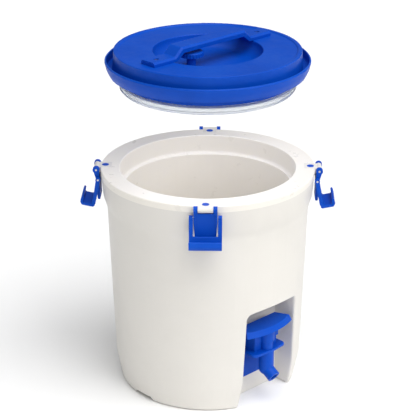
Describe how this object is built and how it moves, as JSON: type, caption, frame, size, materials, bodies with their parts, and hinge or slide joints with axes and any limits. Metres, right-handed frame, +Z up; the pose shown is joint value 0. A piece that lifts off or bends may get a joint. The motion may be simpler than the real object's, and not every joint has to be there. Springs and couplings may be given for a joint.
{
  "type": "insulated drink dispenser",
  "caption": "Round double-walled insulated tub with a press tap in a wall recess, a lift-off foamed lid with a handle and vent, and draw latches around the rim.",
  "frame": {"origin": "centre of the base, on the plane that the foot pads stand on", "axes": "+Z up along the tub's axis; the tap faces -Y; the lid's handle runs along X"},
  "size_m": [0.3296, 0.3296, 0.5571],
  "materials": {
    "tub_white": "satin",
    "liner_white": "gloss",
    "foam": "matte",
    "blue_plastic": "satin",
    "stem_plastic": "satin",
    "steel": "brushed",
    "seal_rubber": "matte",
    "clear_silicone": "translucent"
  },
  "bodies": {
    "tub": {"outer_shell": "tub_white", "inner_liner": "liner_white", "foam_core": "foam", "latch_brackets": "tub_white", "bracket_screws": "steel", "bracket_screw_plugs": "blue_plastic", "tap_body": "blue_plastic", "tap_spout": "blue_plastic", "shank_washer": "seal_rubber", "shank_nut": "blue_plastic", "tap_stem_oring": "seal_rubber", "lever_pin_front_left": "steel", "lever_pin_front_right": "steel", "lever_pin_back_right": "steel", "lever_pin_back_left": "steel"},
    "lid": {"lid_top": "blue_plastic", "lid_base": "blue_plastic", "lid_foam": "foam", "lid_gasket": "clear_silicone", "lid_handle": "blue_plastic", "handle_screws": "steel", "vent_body": "blue_plastic", "vent_seal": "seal_rubber"},
    "vent": {"vent_cap": "blue_plastic"},
    "tap": {"tap_cap": "blue_plastic", "tap_stem": "stem_plastic", "tap_poppet": "seal_rubber", "tap_spring": "steel"},
    "lever_front_left": {"lever_front_left": "blue_plastic"},
    "hook_front_left": {"hook_front_left": "blue_plastic", "hook_pin_front_left": "steel"},
    "lever_front_right": {"lever_front_right": "blue_plastic"},
    "hook_front_right": {"hook_front_right": "blue_plastic", "hook_pin_front_right": "steel"},
    "lever_back_right": {"lever_back_right": "blue_plastic"},
    "hook_back_right": {"hook_back_right": "blue_plastic", "hook_pin_back_right": "steel"},
    "lever_back_left": {"lever_back_left": "blue_plastic"},
    "hook_back_left": {"hook_back_left": "blue_plastic", "hook_pin_back_left": "steel"}
  },
  "joints": [
    {"name": "lid_lift", "type": "slide", "parent": "tub", "child": "lid", "axis": [0, 0, 1], "range_m": [-0.15, 0.04]},
    {"name": "vent_turn", "type": "hinge", "parent": "lid", "child": "vent", "pos_m": [-0.034, 0, 0.52], "axis": [0, 0, 1], "range_deg": [0, 90]},
    {"name": "tap_press", "type": "slide", "parent": "tub", "child": "tap", "axis": [0, 0, -1], "range_m": [0, 0.008], "stiffness_N_per_m": 300, "springref_m": -0.01, "deforming": ["tap_spring"]},
    {"name": "lever_front_left_turn", "type": "hinge", "parent": "tub", "child": "lever_front_left", "pos_m": [-0.12091, -0.12091, 0.35], "axis": [-0.7071, 0.7071, 0], "range_deg": [0, 120]},
    {"name": "hook_front_left_turn", "type": "hinge", "parent": "lever_front_left", "child": "hook_front_left", "pos_m": [-0.11879, -0.11879, 0.336], "axis": [0.7071, -0.7071, 0], "range_deg": [-173, 0]},
    {"name": "lever_front_right_turn", "type": "hinge", "parent": "tub", "child": "lever_front_right", "pos_m": [0.12091, -0.12091, 0.35], "axis": [-0.7071, -0.7071, 0], "range_deg": [0, 120]},
    {"name": "hook_front_right_turn", "type": "hinge", "parent": "lever_front_right", "child": "hook_front_right", "pos_m": [0.11879, -0.11879, 0.336], "axis": [0.7071, 0.7071, 0], "range_deg": [-173, 0]},
    {"name": "lever_back_right_turn", "type": "hinge", "parent": "tub", "child": "lever_back_right", "pos_m": [0.12091, 0.12091, 0.35], "axis": [0.7071, -0.7071, 0], "range_deg": [0, 120]},
    {"name": "hook_back_right_turn", "type": "hinge", "parent": "lever_back_right", "child": "hook_back_right", "pos_m": [0.11879, 0.11879, 0.336], "axis": [-0.7071, 0.7071, 0], "range_deg": [-173, 0]},
    {"name": "lever_back_left_turn", "type": "hinge", "parent": "tub", "child": "lever_back_left", "pos_m": [-0.12091, 0.12091, 0.35], "axis": [0.7071, 0.7071, 0], "range_deg": [0, 120]},
    {"name": "hook_back_left_turn", "type": "hinge", "parent": "lever_back_left", "child": "hook_back_left", "pos_m": [-0.11879, 0.11879, 0.336], "axis": [-0.7071, -0.7071, 0], "range_deg": [-173, 0]}
  ]
}
